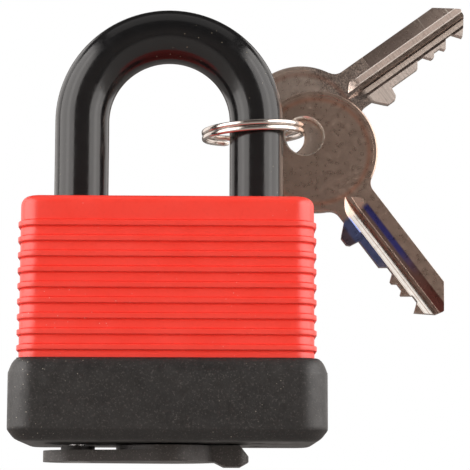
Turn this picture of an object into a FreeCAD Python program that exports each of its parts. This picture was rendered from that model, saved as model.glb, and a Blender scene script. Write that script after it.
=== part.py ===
import FreeCAD, Part
import math
import os

# Weather-proof laminated padlock with a coated shackle, a swivelling keyhole cover
# and two keys on a split ring.  Millimetres.
# +Z runs up along the shackle legs, -Y is the front face, +X is the right-hand side.
# The origin is the inside of the shackle's crown, where a staple bears when it hangs.

V = FreeCAD.Vector

# ---- driving dimensions ------------------------------------------------------------
# shackle
STEEL_D = 8.0            # hardened steel rod
COAT_T = 0.95            # vinyl coating on the rod
LEG_SPACING = 32.0       # between leg axes
CLEAR_HEIGHT = 27.15     # inside height under the crown, above the body
HEEL_TAIL = 1.6          # steel below the heel's retaining groove
TOE_TAIL = 2.0           # steel below the toe's locking notch
TIP_CHAMFER = 0.7

# laminated body
PLATE_T = 3.0
PLATE_COUNT = 13
PLATE_CORNER = 2.4
PLATE_SIDE = 3.9         # steel outside each leg hole
CHAMBER_WALL = 0.8       # steel in front of the cam's chamber, and behind it
TOWER_WALL = 1.7         # steel behind the pin tower
CAM_PLATE = 3            # counted from the top
RIVET_D = 3.4
RIVET_INSET = 3.1        # rivet axis from the plate's edges

# plastic jacket and base
JACKET_WALL = 1.6
JACKET_TOP = 1.8
JACKET_CORNER = 3.6
JACKET_EDGE = 1.7        # rounding of the top edge
RIB_PITCH = 2.715
RIB_HEIGHT = 0.95
RIB_OUT = 0.42
RIB_ROUND = 0.20         # rounding of a rib's two long edges
RIB_FIRST = 5.05         # first rib's middle below the jacket's top
RIB_END_GAP = 1.3        # least room from the last rib's middle to the base
BASE_H = 14.4
BASE_WALL = 3.6
BASE_SHIFT = 0.26        # the base's outside stands this much to the right of the plates
BASE_FLOOR = 2.15
BASE_CORNER = 5.0
BASE_TOP_EDGE = 2.4
BASE_LOW_EDGE = 2.0
KEYHOLE_RIM = 1.3        # keyhole opening beyond the plug, radial
DRAIN_D = 2.4
SEAL_T = 0.9             # rubber collar round each leg
SEAL_LIP = 0.25

# lock cylinder
PLUG_D = 12.0
SHELL_WALL = 2.32
SHELL_END = 2.4          # shell beyond the inserted key's tip
TOWER_W = 6.4
TOWER_CAP = 0.8
PIN_COUNT = 4
PIN_PITCH = 3.5
PIN_FIRST = 4.3          # first pin from the plug's face
PIN_D = 2.8
PIN_NOSE = 0.7           # chamfer of a key pin's foot
DRIVER_L = 2.8
PIN_SPRING_L = 2.4
PIN_SPRING_BORE = 1.4
CLIP_T = 0.8
CLIP_LAP = 0.7           # clip beyond the plug, radial
CLIP_MOUTH = 7.04        # width of the clip's opening
TAIL_STEP = 1.6          # plug to the clip's neck, radial
TAIL_HEAD_T = 0.5
SPINDLE_D = 6.0
SPINDLE_SHOULDER = 1.0   # spindle to its square tongues, each side
CAM_BITE = 0.9           # how far the cam's bar enters each leg
CAM_BAR_W = 3.4
CAM_HUB_D = 13.0
CAM_TURN = 150.0         # degrees, from locked to fully open
HEEL_PIN_D = 2.4
HEEL_PIN_BITE = 1.5      # depth of the pin into the heel leg
HEEL_PIN_END = 1.2       # pin's end to the rivet, along the pin
SPRING_WIRE = 0.8
SPRING_PITCH = 0.96      # least pitch of the compressed shackle spring

# keyhole cover
COVER_T = 2.0
COVER_LAP = 1.85         # disc beyond the keyhole, radial
COVER_TAIL_D = 12.4
COVER_BOSS_D = 6.1
COVER_STEP = 0.85        # the arm lies this much lower than the disc's rim
COVER_RIM_W = 1.4
TAB_REACH = 5.4          # tab beyond the disc
TAB_W = 9.0
TAB_CORNER = 1.8         # rounding of the tab's end, seen from below
TAB_SLOPE_X = 1.55       # sloping top of the tab's end: run and fall
TAB_SLOPE_Z = 1.9
TAB_LIP = 0.85           # finger lip below the arm, and its three stretches along the tab
TAB_LIP_RAMP = 1.7
TAB_LIP_FLAT = 2.9
TAB_LIP_NOSE = 1.5
PIVOT_D = 3.0
PIVOT_HEAD_D = 4.8
PIVOT_HEAD_T = 0.8

# split ring
RING_ROOM = 7.6          # inside the ring, beyond the coated rod
RING_WIRE_W = 0.85       # radial
RING_WIRE_H = 1.0        # along the ring's axis
RING_TURN_GAP = 0.05
RING_EDGE = 0.28
RING_SHIFT = -0.46       # ring centre from the leg's axis, to the right
RING_DROP = 1.30         # ring centre below the arch's centre
RING_TILT_SIDE = 3.8     # degrees, right side up
RING_TILT_BACK = 2.2     # degrees, rear side up
CROSSOVER_AT = 90.0     # degrees round the ring
CROSSOVER_SPAN = 60.0
CROSSOVER_STEPS = 8

# keys, seen from the side: x runs from the bow's centre to the tip, z to the spine
BOW_D = 23.0
BOW_T = 2.2
BOW_EDGE = 0.25
BOW_RIM = 0.8
BOW_RECESS = 0.18
BOW_BRIDGE = 4.35        # bow metal beyond the hole
KEY_HOLE_D = 7.0
KEY_HOLE_CHAMFER = 0.3
NECK_X = 8.1
NECK_ROUND = 2.2
BLADE_T = 2.0
BLADE_START_X = 17.1
BLADE_TOP = 4.0
BLADE_LOW = -3.9
TIP_L = 5.0              # tip beyond the last pin
TIP_SLOPE = 4.3          # sloping end of the spine
TIP_Z = 0.7
TIP_NOSE = (0.4, 1.6)    # small bevel at the very tip
TIP_RAMP = (2.3, 0.8)    # lower bevel, which lifts the pins
LUG_X = 18.2             # stop face, which meets the plug
LUG_DEPTH = 2.3
LUG_W = 1.6              # flat end of the stop lug
LUG_CORNER = 0.5
LUG_LEAN = 0.3           # the stop face leans back by this much
LUG_RAMP = 1.6           # slope from the lug back to the neck
KEY_CUTS = (0.0, 1.3, 0.75, 1.7)
CUT_FLAT = 0.7           # half width of a cut's floor
CUT_SLOPE = 0.75         # run of a cut's flank for each unit of its depth
CUTTER_R = 9.0
GROOVE_START_X = 13.6
# each groove: upper edge, bottom, lower edge and depth
NEAR_GROOVES = ((1.5, -0.05, -0.2, 0.35), (-0.72, -0.95, -2.6, 0.62))
FAR_GROOVE = (2.6, 1.9, 1.2, 0.5)
GROOVE_FLARE = 0.5       # the flanks run on outside by this share of themselves

# how the keys hang: hole centre from the ring's wire (x, z), and the blade's angle
FRONT_KEY_SHARE = 0.512    # place of the hole across its play on the wire
FRONT_KEY_DROP = 0.73    # hole centre below the wire's
FRONT_KEY_ANGLE = -52.8  # degrees above the horizontal
REAR_KEY_SHARE = -0.398
REAR_KEY_DROP = 0.48
REAR_KEY_ANGLE = 36.0

# ---- named clearances --------------------------------------------------------------
LEG_FIT = 0.10           # steel leg in its plates, radial
COAT_GAP = 0.35          # coating in the seals
PLUG_FIT = 0.08
PIN_FIT = 0.06
PIVOT_FIT = 0.08
HOUSING_GAP = 0.10
JACKET_GAP = 0.20        # plates in the plastic
CAM_GAP = 0.30
SHEAR_GAP = 0.20
KEYWAY_GAP = 0.15
OPEN_MARGIN = 0.5        # toe stands clear of the jacket by this much when open
SPINDLE_GAP = 0.30
TONGUE_GAP = 0.05
COVER_GAP = 0.3
KEY_GAP = 0.3
RING_LEG_GAP = 0.65      # ring's wire in front of the leg

# ---- derived places ----------------------------------------------------------------
STEEL_R = STEEL_D / 2.0
COAT_R = STEEL_R + COAT_T
LEG_X = LEG_SPACING / 2.0
ARCH_Z = -(LEG_X - COAT_R)
CAM_REACH = LEG_X - STEEL_R + CAM_BITE
CHAMBER_R = CAM_REACH + CAM_GAP
TOWER_Y = PLUG_D / 2.0 + SHEAR_GAP + DRIVER_L + PIN_SPRING_L + TOWER_CAP
PLATE_W = LEG_SPACING + STEEL_D + 2 * (LEG_FIT + PLATE_SIDE)
PLATE_D = 2 * max(CHAMBER_R + CHAMBER_WALL, TOWER_Y + HOUSING_GAP + TOWER_WALL)

BODY_TOP = -CLEAR_HEIGHT
STACK_TOP = BODY_TOP - JACKET_TOP
STACK_BOTTOM = STACK_TOP - PLATE_T * PLATE_COUNT
BASE_BOTTOM = STACK_BOTTOM - BASE_FLOOR
BASE_TOP = BASE_BOTTOM + BASE_H
HOLLOW_W = PLATE_W + 2 * JACKET_GAP
HOLLOW_D = PLATE_D + 2 * JACKET_GAP
JACKET_W = HOLLOW_W + 2 * JACKET_WALL
JACKET_D = HOLLOW_D + 2 * JACKET_WALL
BASE_W = HOLLOW_W + 2 * BASE_WALL
BASE_D = HOLLOW_D + 2 * BASE_WALL
RIB_COUNT = 1 + int((BODY_TOP - BASE_TOP - RIB_FIRST - RIB_END_GAP) / RIB_PITCH)

CAM_TOP = STACK_TOP - (CAM_PLATE - 1) * PLATE_T - CAM_GAP
CAM_BOTTOM = STACK_TOP - CAM_PLATE * PLATE_T + CAM_GAP
# angle through which the cam turns before its bar is clear of a leg
BITE_COS = (CAM_REACH ** 2 + LEG_X ** 2 - (STEEL_R + CAM_GAP) ** 2) / (2 * CAM_REACH * LEG_X)
CLEAR_ANGLE = math.degrees(math.acos(BITE_COS) + math.asin(CAM_BAR_W / 2 / CAM_REACH))
# the shackle rises with the turning cam, so a notch is longer than the cam is thick
FREE_SHARE = CLEAR_ANGLE / CAM_TURN
TOE_BASE = BODY_TOP - CAM_BOTTOM + CAM_GAP + TOE_TAIL + OPEN_MARGIN
LIFT = TOE_BASE / (1.0 - FREE_SHARE)
NOTCH_TOP = CAM_TOP + CAM_GAP
NOTCH_BOTTOM = CAM_BOTTOM - LIFT * FREE_SHARE - CAM_GAP
TOE_TIP = NOTCH_BOTTOM - TOE_TAIL
HEEL_PIN_Z = STACK_TOP - (CAM_PLATE + 1) * PLATE_T
HEEL_PIN_X = -LEG_X - STEEL_R + HEEL_PIN_BITE - HEEL_PIN_D / 2.0
HEEL_PIN_Y = PLATE_D / 2.0 - RIVET_INSET - RIVET_D / 2.0 - HEEL_PIN_END
GROOVE_BOTTOM = HEEL_PIN_Z - LIFT - HEEL_PIN_D / 2.0 - LEG_FIT
HEEL_TIP = GROOVE_BOTTOM - HEEL_TAIL
HEEL_FLOOR = STACK_BOTTOM + PLATE_T

KEYHOLE_D = PLUG_D + 2 * KEYHOLE_RIM
SHELL_D = PLUG_D + 2 * (PLUG_FIT + SHELL_WALL)
CLIP_D = PLUG_D + 2 * CLIP_LAP
TAIL_NECK_D = PLUG_D - 2 * TAIL_STEP
TONGUE = SPINDLE_D - 2 * SPINDLE_SHOULDER
PIN_SPAN = PIN_FIRST + (PIN_COUNT - 1) * PIN_PITCH
BLADE_L = LUG_X + PIN_SPAN + TIP_L
SHELL_L = PIN_SPAN + TIP_L + SHELL_END
PLUG_FACE = STACK_BOTTOM
SHELL_TOP = PLUG_FACE + SHELL_L
CLIP_BOTTOM = SHELL_TOP + PLUG_FIT
CLIP_TOP = CLIP_BOTTOM + CLIP_T
TAIL_TOP = CLIP_TOP + TAIL_HEAD_T

COVER_DISC_D = KEYHOLE_D + 2 * COVER_LAP
COVER_PIVOT_X = -LEG_X
TAB_END_X = COVER_DISC_D / 2.0 + TAB_REACH
COVER_TOP = BASE_BOTTOM - COVER_GAP
ARM_TOP = COVER_TOP - COVER_STEP
ARM_BOTTOM = ARM_TOP - COVER_T

KEY_FRONT_Y = COAT_R + KEY_GAP
KEY_REAR_Y = KEY_FRONT_Y + BOW_T + KEY_GAP
KEY_HOLE_X = -(BOW_D - KEY_HOLE_D) / 2.0 + BOW_BRIDGE
RING_MEAN_R = COAT_R + (RING_ROOM + RING_WIRE_W) / 2.0
RING_Y = RING_MEAN_R - RING_WIRE_W / 2.0 - COAT_R - RING_LEG_GAP

OVER = 1.0               # how far a cutting tool runs past what it cuts
NEAR = 1e-4              # two heights this close are the same


# ---- helpers -----------------------------------------------------------------------
def box(x0, x1, y0, y1, z0, z1):
    return Part.makeBox(x1 - x0, y1 - y0, z1 - z0, V(x0, y0, z0))


def rod(radius, z0, z1, x=0.0, y=0.0):
    return Part.makeCylinder(radius, z1 - z0, V(x, y, z0), V(0, 0, 1))


def cross_rod(radius, y0, y1, x, z):
    return Part.makeCylinder(radius, y1 - y0, V(x, y0, z), V(0, 1, 0))


def rounded_block(width, depth, corner, z0, z1):
    """An upright block centred on the axis, with rounded vertical corners."""
    block = box(-width / 2, width / 2, -depth / 2, depth / 2, z0, z1)
    upright = [e for e in block.Edges if abs(e.BoundBox.ZLength - (z1 - z0)) < NEAR]
    return block.makeFillet(corner, upright)


def edges_at(shape, z):
    """The edges that lie in the level plane at z."""
    level = []
    for edge in shape.Edges:
        bounds = edge.BoundBox
        if bounds.ZLength < NEAR and abs(bounds.ZMin - z) < NEAR:
            level.append(edge)
    return level


def prism(points, direction):
    """A closed polygon pushed along a direction."""
    loop = Part.makePolygon(points + [points[0]])
    return Part.Face(loop).extrude(direction)


def save(shape, name):
    clean = shape.removeSplitter()
    if not clean.isValid():
        raise ValueError(name + " isn't a valid shape")
    clean.exportStep("parts/" + name + ".step")


# ---- jacket and base ---------------------------------------------------------------
def seal_radius():
    return COAT_R + COAT_GAP + SEAL_T


def make_jacket():
    """Red shell: open below, closed on top except for the two leg holes."""
    outer = rounded_block(JACKET_W, JACKET_D, JACKET_CORNER, BASE_TOP, BODY_TOP)
    outer = outer.makeFillet(JACKET_EDGE, edges_at(outer, BODY_TOP))
    for i in range(RIB_COUNT):
        middle = BODY_TOP - RIB_FIRST - i * RIB_PITCH
        low = middle - RIB_HEIGHT / 2
        high = middle + RIB_HEIGHT / 2
        rib = rounded_block(JACKET_W + 2 * RIB_OUT, JACKET_D + 2 * RIB_OUT,
                            JACKET_CORNER + RIB_OUT, low, high)
        rim = edges_at(rib, low) + edges_at(rib, high)
        outer = outer.fuse(rib.makeFillet(RIB_ROUND, rim))
    hollow = rounded_block(HOLLOW_W, HOLLOW_D, PLATE_CORNER, BASE_TOP - OVER, STACK_TOP)
    shell = outer.cut(hollow)
    for side in (-1, 1):
        shell = shell.cut(rod(seal_radius(), STACK_TOP - OVER, BODY_TOP + OVER, side * LEG_X))
    return shell


def make_seals():
    """Two rubber collars, one in each leg hole of the jacket."""
    collars = []
    for side in (-1, 1):
        collar = rod(seal_radius(), STACK_TOP, BODY_TOP, side * LEG_X)
        lip = rod(seal_radius() - SEAL_T / 2, BODY_TOP, BODY_TOP + SEAL_LIP, side * LEG_X)
        way = rod(COAT_R + COAT_GAP, STACK_TOP - OVER, BODY_TOP + OVER, side * LEG_X)
        collars.append(collar.fuse(lip).cut(way).removeSplitter())
    return Part.makeCompound(collars)


def make_base():
    """Dark moulded bumper: a cup round the lower plates, with the keyhole in its floor."""
    outer = rounded_block(BASE_W, BASE_D, BASE_CORNER, BASE_BOTTOM, BASE_TOP)
    outer.translate(V(BASE_SHIFT, 0, 0))
    outer = outer.makeFillet(BASE_TOP_EDGE, edges_at(outer, BASE_TOP))
    outer = outer.makeFillet(BASE_LOW_EDGE, edges_at(outer, BASE_BOTTOM))
    hollow = rounded_block(HOLLOW_W, HOLLOW_D, PLATE_CORNER, STACK_BOTTOM, BASE_TOP + OVER)
    cup = outer.cut(hollow)
    cup = cup.cut(rod(KEYHOLE_D / 2, BASE_BOTTOM - OVER, STACK_BOTTOM + OVER))
    cup = cup.cut(rod(PIVOT_D / 2, BASE_BOTTOM - OVER, STACK_BOTTOM + OVER, COVER_PIVOT_X))
    for side in (-1, 1):
        cup = cup.cut(rod(DRAIN_D / 2, BASE_BOTTOM - OVER, STACK_BOTTOM + OVER,
                          LEG_X, side * PLATE_D / 4))
    return cup


# ---- laminated body ----------------------------------------------------------------
def housing(gap, z0, z1):
    """Outline of the lock cylinder: a round barrel with a pin tower towards the rear."""
    barrel = rod(SHELL_D / 2 + gap, z0, z1)
    half = TOWER_W / 2 + gap
    tower = box(-half, half, 0, TOWER_Y + gap, z0, z1)
    return barrel.fuse(tower)


def rivet_places():
    x = PLATE_W / 2 - RIVET_INSET
    y = PLATE_D / 2 - RIVET_INSET
    return [(-x, -y), (x, -y), (-x, y), (x, y)]


def make_plate(number):
    """One steel lamination; what is cut in it depends on its level."""
    high = STACK_TOP - (number - 1) * PLATE_T
    low = high - PLATE_T
    z0 = low - OVER
    z1 = high + OVER
    plate = rounded_block(PLATE_W, PLATE_D, PLATE_CORNER, low, high)
    for x, y in rivet_places():
        plate = plate.cut(rod(RIVET_D / 2, z0, z1, x, y))
    if high > TOE_TIP:
        plate = plate.cut(rod(STEEL_R + LEG_FIT, z0, z1, LEG_X))
    if low > HEEL_FLOOR - PLATE_T / 2:
        plate = plate.cut(rod(STEEL_R + LEG_FIT, z0, z1, -LEG_X))
    if number == CAM_PLATE:
        plate = plate.cut(rod(CHAMBER_R, z0, z1))
    elif number > CAM_PLATE and low > TAIL_TOP + HOUSING_GAP:
        plate = plate.cut(rod(SPINDLE_D / 2 + SPINDLE_GAP, z0, z1))
    elif number > CAM_PLATE:
        plate = plate.cut(housing(HOUSING_GAP, z0, z1))
    if low - HEEL_PIN_D / 2 < HEEL_PIN_Z < high + HEEL_PIN_D / 2:
        plate = plate.cut(make_heel_pin())
    if number == PLATE_COUNT:
        plate = plate.cut(rod(PIVOT_D / 2, z0, z1, COVER_PIVOT_X))
    return plate


def make_rivets():
    """Four body rivets, flush with the stack's faces."""
    shanks = [rod(RIVET_D / 2, STACK_BOTTOM, STACK_TOP, x, y) for x, y in rivet_places()]
    return Part.makeCompound(shanks)


def make_heel_pin():
    """Cross pin that keeps the heel leg in the body."""
    return cross_rod(HEEL_PIN_D / 2, -HEEL_PIN_Y, HEEL_PIN_Y, HEEL_PIN_X, HEEL_PIN_Z)


# ---- shackle -----------------------------------------------------------------------
def half_arch(outer_r, inner_r):
    """Upper half of a round ring about Y, solid or hollow, centred on the arch."""
    section = Part.Wire(Part.makeCircle(outer_r, V(LEG_X, 0, ARCH_Z), V(0, 0, 1)))
    faces = Part.Face(section)
    if inner_r > 0:
        bore = Part.Wire(Part.makeCircle(inner_r, V(LEG_X, 0, ARCH_Z), V(0, 0, 1)))
        faces = Part.Face([section, bore])
    return faces.revolve(V(0, 0, ARCH_Z), V(0, -1, 0), 180)


def steel_leg(x, tip):
    leg = rod(STEEL_R, tip, ARCH_Z, x)
    return leg.makeChamfer(TIP_CHAMFER, edges_at(leg, tip))


def make_shackle_core():
    toe = steel_leg(LEG_X, TOE_TIP)
    heel = steel_leg(-LEG_X, HEEL_TIP)
    # the cam's bar bites into the inner side of both legs
    notch = box(-CHAMBER_R, CHAMBER_R, -STEEL_D, STEEL_D, NOTCH_BOTTOM, NOTCH_TOP)
    toe = toe.cut(notch)
    heel = heel.cut(notch)
    # flat along the heel's outer side for the cross pin, and a round groove at its foot
    flat_x = HEEL_PIN_X + HEEL_PIN_D / 2 + LEG_FIT
    flat_top = HEEL_PIN_Z + HEEL_PIN_D / 2 + LEG_FIT
    side = box(-LEG_X - STEEL_D, flat_x, -STEEL_D, STEEL_D, GROOVE_BOTTOM, flat_top)
    heel = heel.cut(side)
    groove_top = GROOVE_BOTTOM + HEEL_PIN_D + 2 * LEG_FIT
    sleeve = rod(STEEL_R + OVER, GROOVE_BOTTOM, groove_top, -LEG_X)
    neck = rod(-LEG_X - flat_x, GROOVE_BOTTOM, groove_top, -LEG_X)
    heel = heel.cut(sleeve.cut(neck))
    return half_arch(STEEL_R, 0).fuse([toe, heel])


def make_shackle_coating():
    low = STACK_TOP + COAT_GAP
    coat = half_arch(COAT_R, STEEL_R)
    for side in (-1, 1):
        tube = rod(COAT_R, low, ARCH_Z, side * LEG_X)
        coat = coat.fuse(tube.cut(rod(STEEL_R, low - OVER, ARCH_Z + OVER, side * LEG_X)))
    return coat


def make_shackle_spring():
    """Compression spring under the heel, in its hole."""
    radius = STEEL_R - SPRING_WIRE / 2 - LEG_FIT
    rise = HEEL_TIP - HEEL_FLOOR - SPRING_WIRE - 2 * LEG_FIT
    turns = int(rise / SPRING_PITCH)
    start = HEEL_FLOOR + SPRING_WIRE / 2 + LEG_FIT
    path = Part.makeHelix(rise / turns, rise, radius)
    path.translate(V(-LEG_X, 0, start))
    section = Part.Wire(Part.makeCircle(SPRING_WIRE / 2, V(radius - LEG_X, 0, start), V(0, 1, 0)))
    return Part.Wire(path.Edges).makePipeShell([section], True, True)


# ---- lock cylinder -----------------------------------------------------------------
def pin_levels():
    return [PLUG_FACE + PIN_FIRST + i * PIN_PITCH for i in range(PIN_COUNT)]


def cut_height(i):
    """Height of the key's edge at one pin, from the plug's axis."""
    return -BLADE_LOW - KEY_CUTS[i]


def pin_top():
    """The key pins end here so that their flat ends stay inside the turning plug."""
    return math.sqrt((PLUG_D / 2) ** 2 - (PIN_D / 2) ** 2) - PIN_FIT


def make_cylinder_shell():
    shell = housing(0.0, PLUG_FACE, SHELL_TOP)
    shell = shell.cut(rod(PLUG_D / 2 + PLUG_FIT, PLUG_FACE - OVER, SHELL_TOP + OVER))
    for z in pin_levels():
        shell = shell.cut(cross_rod(PIN_D / 2 + PIN_FIT, 0, TOWER_Y - TOWER_CAP, 0, z))
    return shell


def make_plug():
    plug = rod(PLUG_D / 2, PLUG_FACE, CLIP_BOTTOM)
    plug = plug.fuse(rod(TAIL_NECK_D / 2, CLIP_BOTTOM, TAIL_TOP))
    plug = plug.fuse(rod(PLUG_D / 2 - CAM_GAP, CLIP_TOP, TAIL_TOP))
    # keyway: the blade stands in the YZ plane with its cuts towards the pins
    half = BLADE_T / 2 + KEYWAY_GAP
    high = -BLADE_LOW + KEYWAY_GAP
    low = -BLADE_TOP - KEYWAY_GAP
    depth = PLUG_FACE + BLADE_L - LUG_X + KEYWAY_GAP * 2
    plug = plug.cut(box(-half, half, low, high, PLUG_FACE - OVER, depth))
    # a ward stands in the blade's deeper groove
    upper, bottom, lower, deep = NEAR_GROOVES[1]
    tip = -half + deep - KEYWAY_GAP / 2
    root = -half - KEYWAY_GAP
    ward = prism([V(root, -lower - KEYWAY_GAP, PLUG_FACE), V(tip, -bottom + KEYWAY_GAP, PLUG_FACE),
                  V(root, -upper + KEYWAY_GAP, PLUG_FACE)], V(0, 0, depth - PLUG_FACE))
    plug = plug.fuse(ward)
    for z in pin_levels():
        plug = plug.cut(cross_rod(PIN_D / 2 + PIN_FIT, 0, PLUG_D, 0, z))
    # the spindle's square seat in the tail
    return plug.cut(box(-TONGUE / 2, TONGUE / 2, -TONGUE / 2, TONGUE / 2,
                        CLIP_BOTTOM, TAIL_TOP + OVER))


def make_key_pins():
    pins = []
    for i, z in enumerate(pin_levels()):
        foot = cut_height(i) + PIN_FIT
        pin = cross_rod(PIN_D / 2, foot, pin_top(), 0, z)
        nose = [e for e in pin.Edges if abs(e.BoundBox.YMin - foot) < NEAR
                and e.BoundBox.YLength < NEAR]
        pins.append(pin.makeChamfer(PIN_NOSE, nose))
    return Part.makeCompound(pins)


def driver_foot():
    return PLUG_D / 2 + SHEAR_GAP


def make_driver_pins():
    foot = driver_foot()
    pins = [cross_rod(PIN_D / 2, foot, foot + DRIVER_L, 0, z) for z in pin_levels()]
    return Part.makeCompound(pins)


def make_pin_springs():
    """Each small coil is a plain tube between its driver pin and the tower's cap."""
    low = driver_foot() + DRIVER_L
    high = low + PIN_SPRING_L
    tubes = []
    for z in pin_levels():
        tube = cross_rod(PIN_D / 2 - PIN_FIT, low, high, 0, z)
        tubes.append(tube.cut(cross_rod(PIN_SPRING_BORE / 2, low - OVER, high + OVER, 0, z)))
    return Part.makeCompound(tubes)


def make_plug_clip():
    """Open spring clip behind the shell that keeps the plug in."""
    clip = rod(CLIP_D / 2, CLIP_BOTTOM, CLIP_TOP)
    clip = clip.cut(rod(TAIL_NECK_D / 2, CLIP_BOTTOM - OVER, CLIP_TOP + OVER))
    half = CLIP_MOUTH / 2
    return clip.cut(box(-half, half, -CLIP_D, 0, CLIP_BOTTOM - OVER, CLIP_TOP + OVER))


def make_spindle():
    """Drive shaft from the plug's tail to the cam, with a square end in each."""
    half = TONGUE / 2
    shaft = rod(SPINDLE_D / 2, TAIL_TOP, CAM_BOTTOM)
    shaft = shaft.fuse(box(-half, half, -half, half, CLIP_BOTTOM, TAIL_TOP))
    top = CAM_TOP - TONGUE_GAP
    return shaft.fuse(box(-half, half, -half, half, CAM_BOTTOM, top))


def make_cam():
    """Locking cam: a bar through a round hub, with its ends in the legs' notches."""
    bar = box(-CAM_REACH, CAM_REACH, -CAM_BAR_W / 2, CAM_BAR_W / 2, CAM_BOTTOM, CAM_TOP)
    bar = bar.common(rod(CAM_REACH, CAM_BOTTOM, CAM_TOP))
    cam = bar.fuse(rod(CAM_HUB_D / 2, CAM_BOTTOM, CAM_TOP))
    half = TONGUE / 2 + TONGUE_GAP
    return cam.cut(box(-half, half, -half, half, CAM_BOTTOM - OVER, CAM_TOP + OVER))


# ---- keyhole cover -----------------------------------------------------------------
def cover_outline(z0, z1):
    """Tail round the pivot, disc over the keyhole and straight tangents between them."""
    tail_r = COVER_TAIL_D / 2
    disc_r = COVER_DISC_D / 2
    span = -COVER_PIVOT_X
    lean = math.asin((disc_r - tail_r) / span)
    sin_a = math.sin(lean)
    cos_a = math.cos(lean)
    points = [V(COVER_PIVOT_X - tail_r * sin_a, tail_r * cos_a, z0),
              V(-disc_r * sin_a, disc_r * cos_a, z0),
              V(-disc_r * sin_a, -disc_r * cos_a, z0),
              V(COVER_PIVOT_X - tail_r * sin_a, -tail_r * cos_a, z0)]
    web = prism(points, V(0, 0, z1 - z0))
    return web.fuse([rod(tail_r, z0, z1, COVER_PIVOT_X), rod(disc_r, z0, z1)])


def make_tab():
    """Finger tab at the cover's free end: full height, sloping end and a lip below."""
    slope_x = TAB_END_X - TAB_SLOPE_X
    lip_low = ARM_BOTTOM - TAB_LIP
    lip_end = TAB_END_X - TAB_LIP_NOSE
    lip_start = lip_end - TAB_LIP_FLAT
    inner = COVER_DISC_D / 2 - COVER_RIM_W
    side = -TAB_W / 2
    points = [V(0, side, ARM_BOTTOM), V(0, side, ARM_TOP), V(inner, side, ARM_TOP),
              V(inner, side, COVER_TOP), V(slope_x, side, COVER_TOP),
              V(TAB_END_X, side, COVER_TOP - TAB_SLOPE_Z), V(TAB_END_X, side, ARM_BOTTOM),
              V(lip_end, side, lip_low), V(lip_start, side, lip_low),
              V(lip_start - TAB_LIP_RAMP, side, ARM_BOTTOM)]
    plan = box(-TAB_END_X, TAB_END_X, side, -side, lip_low, COVER_TOP)
    ends = [e for e in plan.Edges if e.BoundBox.ZLength > COVER_T and e.BoundBox.XMin > 0]
    return prism(points, V(0, TAB_W, 0)).common(plan.makeFillet(TAB_CORNER, ends))


def make_cover():
    body = cover_outline(ARM_BOTTOM, ARM_TOP).fuse(make_tab()).removeSplitter()
    # raised rim that closes the keyhole, and the boss at the pivot
    rim = rod(COVER_DISC_D / 2, ARM_TOP, COVER_TOP)
    rim = rim.cut(rod(COVER_DISC_D / 2 - COVER_RIM_W, ARM_TOP - OVER, COVER_TOP + OVER))
    boss = rod(COVER_BOSS_D / 2, ARM_TOP, COVER_TOP, COVER_PIVOT_X)
    body = body.fuse([rim, boss])
    body = body.cut(rod(PIVOT_D / 2 + PIVOT_FIT, ARM_BOTTOM - OVER, COVER_TOP + OVER, COVER_PIVOT_X))
    seat = PIVOT_HEAD_T + PIVOT_FIT
    return body.cut(rod(PIVOT_HEAD_D / 2 + PIVOT_FIT, ARM_BOTTOM - OVER, ARM_BOTTOM + seat,
                        COVER_PIVOT_X))


def make_cover_pivot():
    """Headed pin, pressed up through the base's floor into the lowest plate."""
    head = rod(PIVOT_HEAD_D / 2, ARM_BOTTOM, ARM_BOTTOM + PIVOT_HEAD_T, COVER_PIVOT_X)
    shank = rod(PIVOT_D / 2, ARM_BOTTOM, STACK_BOTTOM + PLATE_T, COVER_PIVOT_X)
    return head.fuse(shank)


# ---- split ring --------------------------------------------------------------------
def wire_section(angle, z):
    """Flattened wire, cut across in the radial plane at an angle in degrees."""
    half_w = RING_WIRE_W / 2
    half_h = RING_WIRE_H / 2
    block = Part.makeBox(RING_WIRE_W, OVER, RING_WIRE_H, V(RING_MEAN_R - half_w, 0, z - half_h))
    long_edges = [e for e in block.Edges if abs(e.BoundBox.YLength - OVER) < NEAR]
    block = block.makeFillet(RING_EDGE, long_edges)
    face = [f for f in block.Faces if f.BoundBox.YMax < NEAR][0]
    wire = face.OuterWire.copy()
    wire.rotate(V(0, 0, 0), V(0, 0, 1), angle)
    return wire


def ring_place():
    """Where the ring hangs round the toe leg."""
    tilt = FreeCAD.Rotation(V(0, -1, 0), RING_TILT_SIDE)
    tilt = tilt.multiply(FreeCAD.Rotation(V(1, 0, 0), RING_TILT_BACK))
    return FreeCAD.Placement(V(LEG_X + RING_SHIFT, RING_Y, ARCH_Z - RING_DROP), tilt)


def make_split_ring():
    """Two stacked turns of flat wire with one crossover between them."""
    level = (RING_WIRE_H + RING_TURN_GAP) / 2
    start = CROSSOVER_AT + CROSSOVER_SPAN / 2
    sweep = 360.0 - CROSSOVER_SPAN
    lower = Part.Face(wire_section(start, -level)).revolve(V(0, 0, 0), V(0, 0, 1), sweep)
    upper = Part.Face(wire_section(start, level)).revolve(V(0, 0, 0), V(0, 0, 1), sweep)
    sections = []
    for i in range(CROSSOVER_STEPS + 1):
        t = i / CROSSOVER_STEPS
        ease = t * t * (3 - 2 * t)
        angle = start - CROSSOVER_SPAN + CROSSOVER_SPAN * t
        sections.append(wire_section(angle, -level + 2 * level * ease))
    crossing = Part.makeLoft(sections, True, False)
    ring = lower.fuse([upper, crossing])
    ring.Placement = ring_place()
    return ring


# ---- keys --------------------------------------------------------------------------
def cut_edge():
    """Points of the blade's lower edge, from the stop to the tip."""
    points = []
    for i in range(PIN_COUNT):
        middle = LUG_X + PIN_FIRST + i * PIN_PITCH
        depth = KEY_CUTS[i]
        if depth == 0:
            continue
        half = CUT_FLAT + depth * CUT_SLOPE
        points += [(middle - half, BLADE_LOW), (middle - CUT_FLAT, BLADE_LOW + depth),
                   (middle + CUT_FLAT, BLADE_LOW + depth), (middle + half, BLADE_LOW)]
    return points


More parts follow.
